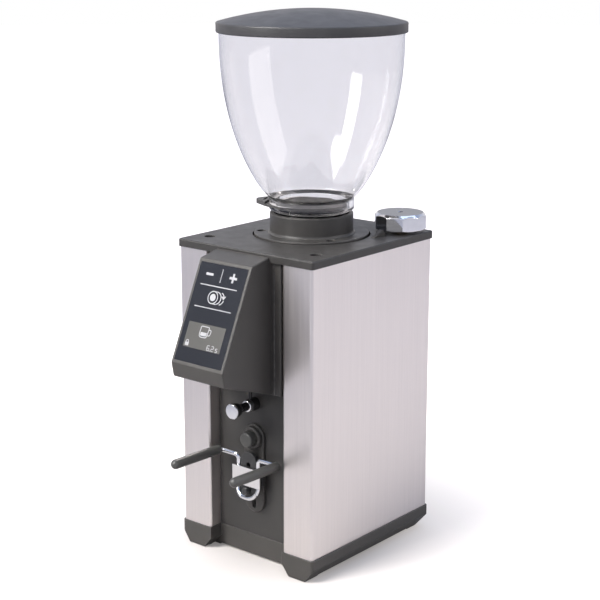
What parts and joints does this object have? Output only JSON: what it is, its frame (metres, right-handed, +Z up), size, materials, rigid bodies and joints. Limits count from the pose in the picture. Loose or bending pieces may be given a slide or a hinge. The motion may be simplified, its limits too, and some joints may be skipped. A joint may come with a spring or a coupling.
{
  "type": "burr coffee grinder",
  "caption": "Upright on-demand burr coffee grinder with a clear bell-shaped hopper, dosing head, side adjusting knob and a fork for a filter holder.",
  "frame": {"origin": "on the floor under the middle of the whole object", "axes": "+Z up, front of the grinder towards -Y, +X to the viewer's right; the grinding axis is upright at y=39.25 mm"},
  "size_m": [0.194, 0.2724, 0.56],
  "materials": {
    "casing_steel": "brushed vertically",
    "dark_coat": "satin dark grey powder coat",
    "dark_plastic": "fine matt",
    "soft_rubber": "satin",
    "bright_chrome": "mirror plated",
    "polished_steel": "polished",
    "clear_plastic": "clear, lightly smoked",
    "panel_glass": "gloss over a dark print",
    "black_steel": "black oxide",
    "machined_steel": "machined",
    "laminated_steel": "laminated",
    "cast_aluminium": "as cast",
    "bearing_bronze": "machined",
    "circuit_board": "solder mask",
    "switch_plastic": "gloss black"
  },
  "bodies": {
    "chassis": {"base_tray": "dark_coat", "rubber_feet": "soft_rubber", "right_side_shell": "casing_steel", "left_side_shell": "casing_steel", "rear_cover": "dark_coat", "rear_cover_screws": "black_steel", "front_panel": "dark_coat", "top_plate": "dark_coat", "top_plate_screws": "black_steel", "index_pointer": "dark_coat", "frame_posts": "machined_steel", "head_backplate": "dark_coat", "head_housing": "dark_coat", "touch_glass": "panel_glass", "display_module": "circuit_board", "control_board": "circuit_board", "spout_chute": "dark_plastic", "escutcheon": "dark_coat", "button_housing": "dark_coat", "start_switch": "circuit_board", "plunger_barrel": "dark_plastic", "plunger_ring": "bright_chrome", "knob_bushing": "bearing_bronze", "grinding_chamber": "cast_aluminium", "motor_mount_plate": "machined_steel", "motor_stator": "laminated_steel", "upper_end_bell": "cast_aluminium", "lower_end_bell": "cast_aluminium", "shaft_bearings": "machined_steel", "run_capacitor": "cast_aluminium", "power_board": "circuit_board", "inlet_socket": "dark_plastic", "inlet_pins": "bearing_bronze", "rocker_frame": "dark_plastic"},
    "collar_unit": {"adjust_collar": "dark_coat", "collar_neck": "dark_coat", "flange_screws": "black_steel", "ring_gear": "machined_steel", "upper_burr_carrier": "cast_aluminium", "upper_burr": "machined_steel"},
    "knob_unit": {"adjust_knob": "bright_chrome", "knob_shaft": "machined_steel", "pinion": "machined_steel"},
    "hopper_unit": {"hopper_bowl": "clear_plastic"},
    "lid_unit": {"lid": "dark_plastic"},
    "gate_unit": {"gate_slide": "dark_plastic"},
    "fork_unit": {"fork_wire": "bright_chrome", "fork_sleeves": "soft_rubber", "fork_clamp_plate": "polished_steel", "fork_bracket": "black_steel", "fork_lock_screw": "black_steel", "fork_nut_plate": "black_steel"},
    "button_unit": {"start_button": "soft_rubber"},
    "plunger_unit": {"plunger_grip": "dark_plastic", "plunger_cap": "bright_chrome"},
    "rotor_unit": {"motor_shaft": "machined_steel", "rotor_core": "laminated_steel", "cooling_fan": "cast_aluminium", "lower_burr_carrier": "cast_aluminium", "lower_burr": "machined_steel"},
    "rocker_unit": {"rocker_switch": "switch_plastic"}
  },
  "joints": [
    {"name": "collar_turn", "type": "hinge", "parent": "chassis", "child": "collar_unit", "pos_m": [0, 0.03925, 0.33], "axis": [0, 0, 1], "range_deg": [-30, 30]},
    {"name": "knob_turn", "type": "hinge", "parent": "chassis", "child": "knob_unit", "pos_m": [0.06285, 0.10881, 0.34], "axis": [0, 0, 1], "range_deg": [-127, 127]},
    {"name": "hopper_lift", "type": "slide", "parent": "collar_unit", "child": "hopper_unit", "axis": [0, 0, 1], "range_m": [0, 0.06]},
    {"name": "lid_lift", "type": "slide", "parent": "hopper_unit", "child": "lid_unit", "axis": [0, 0, 1], "range_m": [0, 0.08]},
    {"name": "gate_pull", "type": "slide", "parent": "hopper_unit", "child": "gate_unit", "axis": [-0.9063, -0.4226, 0], "range_m": [0, 0.06]},
    {"name": "fork_height", "type": "slide", "parent": "chassis", "child": "fork_unit", "axis": [0, 0, 1], "range_m": [-0.012, 0.005]},
    {"name": "button_press", "type": "slide", "parent": "chassis", "child": "button_unit", "axis": [0, 1, 0], "range_m": [0, 0.003], "stiffness_N_per_m": 400, "springref_m": -0.001},
    {"name": "plunger_pull", "type": "slide", "parent": "chassis", "child": "plunger_unit", "axis": [0, -1, 0], "range_m": [0, 0.006], "stiffness_N_per_m": 300, "springref_m": -0.002},
    {"name": "rotor_spin", "type": "hinge", "parent": "chassis", "child": "rotor_unit", "pos_m": [0, 0.03925, 0.15], "axis": [0, 0, 1], "continuous": true},
    {"name": "rocker_tip", "type": "hinge", "parent": "chassis", "child": "rocker_unit", "pos_m": [-0.03, 0.12525, 0.092], "axis": [1, 0, 0], "range_deg": [0, 16]}
  ],
  "couplings": [
    {"joint": "knob_turn", "follows": "collar_turn", "ratio": -4.2083}
  ]
}
